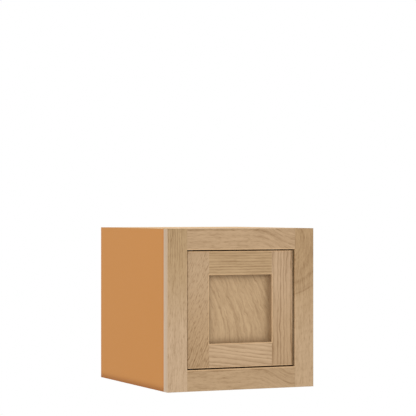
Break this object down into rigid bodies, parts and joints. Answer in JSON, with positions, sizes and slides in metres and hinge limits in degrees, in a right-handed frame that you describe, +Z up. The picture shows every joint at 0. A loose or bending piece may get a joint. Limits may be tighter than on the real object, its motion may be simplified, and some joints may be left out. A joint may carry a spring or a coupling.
{
  "type": "wall cabinet",
  "caption": "Small cubic hanging wall cabinet: raw oak face frame, inset framed door that swings open on hidden hinges, plywood box, hanging rails for wall screws.",
  "frame": {"origin": "on the wall plane, midway across the cabinet, level with its bottom edge", "axes": "+X to the right facing the door, +Y towards the wall, +Z up"},
  "size_m": [0.3048, 0.3492, 0.3048],
  "materials": {
    "oak": "raw, sanded, unfinished oak",
    "case_side": "plywood with an orange-tan finished face",
    "case_inside": "light maple-look laminate on plywood",
    "pine": "raw planed softwood",
    "beech": "fluted hardwood dowel",
    "zinc_steel": "zinc-plated",
    "brass": "browned",
    "nylon": "black, moulded",
    "latch_plastic": "moulded, fine texture",
    "magnet": "nickel-plated",
    "clear_rubber": "clear soft pads",
    "black_rubber": "matt"
  },
  "bodies": {
    "cabinet": {"side_left": "case_side", "side_right": "case_side", "top_panel": "case_side", "bottom_panel": "case_inside", "back_panel": "case_inside", "hang_rail_upper": "pine", "hang_rail_lower": "pine", "hang_rail_screws": "zinc_steel", "frame_stile_left": "oak", "frame_stile_right": "oak", "frame_rail_top": "oak", "frame_rail_bottom": "oak", "frame_pocket_screws": "zinc_steel", "frame_dowels": "beech", "hinge_upper_frame_leaf": "brass", "hinge_lower_frame_leaf": "brass", "hinge_lower_washer": "nylon", "hinge_frame_screws": "brass", "door_stop": "pine", "door_bumpers": "clear_rubber", "latch_block": "pine", "latch_block_screws": "zinc_steel", "latch_body": "latch_plastic", "latch_spring": "zinc_steel", "latch_screws": "zinc_steel"},
    "door": {"door_stile_left": "oak", "door_stile_right": "oak", "door_rail_top": "oak", "door_rail_bottom": "oak", "door_panel": "oak", "panel_spacers": "black_rubber", "hinge_upper_door_leaf": "brass", "hinge_upper_washer": "nylon", "hinge_lower_door_leaf": "brass", "hinge_door_screws": "brass", "latch_strike": "zinc_steel", "strike_screws": "zinc_steel"},
    "plunger": {"latch_plunger": "latch_plastic", "latch_magnet": "magnet"}
  },
  "joints": [
    {"name": "door_swing", "type": "hinge", "parent": "cabinet", "child": "door", "pos_m": [-0.1015, -0.33849, 0.1524], "axis": [0, 0, -1], "range_deg": [0, 100]},
    {"name": "latch_push", "type": "slide", "parent": "cabinet", "child": "plunger", "axis": [0, -1, 0], "range_m": [-0.003, 0], "stiffness_N_per_m": 300, "springref_m": 0.004, "deforming": ["latch_spring"]}
  ]
}
